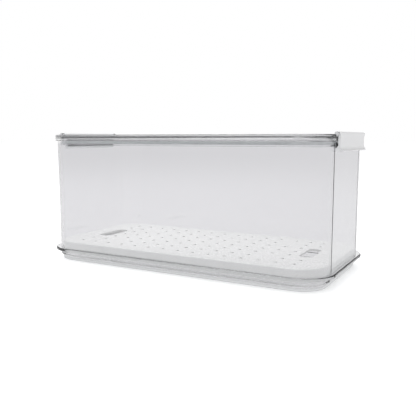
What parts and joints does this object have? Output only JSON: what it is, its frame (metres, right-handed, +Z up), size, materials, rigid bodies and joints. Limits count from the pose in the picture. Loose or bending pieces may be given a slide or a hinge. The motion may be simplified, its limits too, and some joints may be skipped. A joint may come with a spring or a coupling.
{
  "type": "fridge bin",
  "caption": "Long clear fridge bin with a stepped stacking base, a lift-off sealed lid held by a snap latch at each end, and a raised drain tray inside.",
  "frame": {"origin": "on the surface that the bin stands on, under the middle of its box", "axes": "+Z up, +X along the length towards the front end and its latch, +Y across the width"},
  "size_m": [0.3306, 0.16, 0.141],
  "materials": {
    "clear_box": "polished clear moulded plastic",
    "clear_lid": "polished clear moulded plastic",
    "silicone_seal": "satin translucent silicone",
    "white_latch": "satin white moulded plastic",
    "white_tray": "semi-gloss white moulded plastic"
  },
  "bodies": {
    "box": {"bin_body": "clear_box"},
    "lid": {"lid": "clear_lid", "lid_seal": "silicone_seal"},
    "front_latch": {"front_latch": "white_latch"},
    "rear_latch": {"rear_latch": "white_latch"},
    "tray": {"drain_tray": "white_tray"}
  },
  "joints": [
    {"name": "lid_lift", "type": "slide", "parent": "box", "child": "lid", "axis": [0, 0, 1], "range_m": [0, 0.03]},
    {"name": "front_latch_hinge", "type": "hinge", "parent": "lid", "child": "front_latch", "pos_m": [0.1604, 0, 0.1387], "axis": [0, -1, 0], "range_deg": [0, 115]},
    {"name": "rear_latch_hinge", "type": "hinge", "parent": "lid", "child": "rear_latch", "pos_m": [-0.1604, 0, 0.1387], "axis": [0, 1, 0], "range_deg": [0, 115]},
    {"name": "tray_lift", "type": "slide", "parent": "box", "child": "tray", "axis": [0, 0, 1], "range_m": [0, 0.1]}
  ],
  "couplings": [
    {"joint": "front_latch_hinge", "follows": "lid_lift", "rad_per_m": 66.9},
    {"joint": "rear_latch_hinge", "follows": "lid_lift", "rad_per_m": 66.9}
  ]
}
